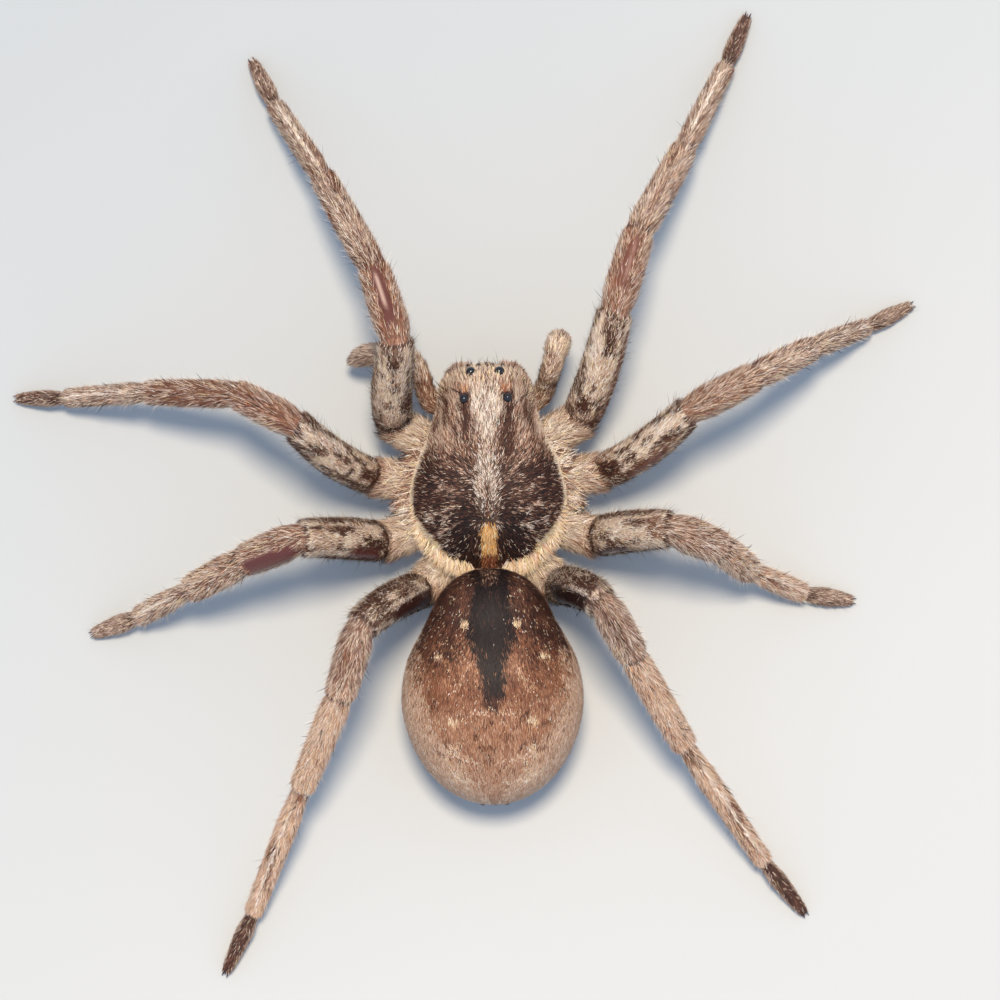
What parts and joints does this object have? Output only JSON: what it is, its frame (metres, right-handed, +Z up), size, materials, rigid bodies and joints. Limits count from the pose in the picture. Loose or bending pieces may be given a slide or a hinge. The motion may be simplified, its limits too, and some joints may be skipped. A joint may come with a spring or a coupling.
{
  "type": "wolf spider",
  "caption": "Life-size still model of a large female wolf spider, standing flat on its feet with its legs spread, coat brown, cream and black.",
  "frame": {"origin": "on the floor, under the middle of the spider's outline", "axes": "+Z up, +Y from head to tail (the head points towards -Y), +X towards the spider's own left"},
  "size_m": [0.0458, 0.0482, 0.0119],
  "materials": {
    "carapace_coat": "short dense hair over dark horn, dark brown bands and a grey-white middle band",
    "abdomen_coat": "short dense hair, dark brown in front, tan behind, cream spots",
    "pale_coat": "soft cream hair at the leg bases",
    "leg_coat": "short lying hair, grey-beige with brown patches and bristles",
    "dark_horn": "smooth dark horn with sparse hair",
    "eye_glass": "polished black"
  },
  "bodies": {
    "root": {"abdomen": "abdomen_coat", "carapace": "carapace_coat", "chelicera_left": "dark_horn", "chelicera_right": "dark_horn", "eye_front_inner_left": "eye_glass", "eye_front_inner_right": "eye_glass", "eye_front_outer_left": "eye_glass", "eye_front_outer_right": "eye_glass", "eye_middle_left": "eye_glass", "eye_middle_right": "eye_glass", "eye_rear_left": "eye_glass", "eye_rear_right": "eye_glass", "fang_left": "dark_horn", "fang_right": "dark_horn", "leg1_left_coxa": "pale_coat", "leg1_left_femur": "leg_coat", "leg1_left_foot": "leg_coat", "leg1_left_patella": "leg_coat", "leg1_left_tibia": "leg_coat", "leg1_right_coxa": "pale_coat", "leg1_right_femur": "leg_coat", "leg1_right_foot": "leg_coat", "leg1_right_patella": "leg_coat", "leg1_right_tibia": "leg_coat", "leg2_left_coxa": "pale_coat", "leg2_left_femur": "leg_coat", "leg2_left_foot": "leg_coat", "leg2_left_patella": "leg_coat", "leg2_left_tibia": "leg_coat", "leg2_right_coxa": "pale_coat", "leg2_right_femur": "leg_coat", "leg2_right_foot": "leg_coat", "leg2_right_patella": "leg_coat", "leg2_right_tibia": "leg_coat", "leg3_left_coxa": "pale_coat", "leg3_left_femur": "leg_coat", "leg3_left_foot": "leg_coat", "leg3_left_patella": "leg_coat", "leg3_left_tibia": "leg_coat", "leg3_right_coxa": "pale_coat", "leg3_right_femur": "leg_coat", "leg3_right_foot": "leg_coat", "leg3_right_patella": "leg_coat", "leg3_right_tibia": "leg_coat", "leg4_left_coxa": "pale_coat", "leg4_left_femur": "leg_coat", "leg4_left_foot": "leg_coat", "leg4_left_patella": "leg_coat", "leg4_left_tibia": "leg_coat", "leg4_right_coxa": "pale_coat", "leg4_right_femur": "leg_coat", "leg4_right_foot": "leg_coat", "leg4_right_patella": "leg_coat", "leg4_right_tibia": "leg_coat", "mouthparts": "dark_horn", "palp_left": "leg_coat", "palp_right": "leg_coat", "pedicel": "pale_coat", "spinnerets": "abdomen_coat", "sternum": "dark_horn"}
  },
  "joints": []
}
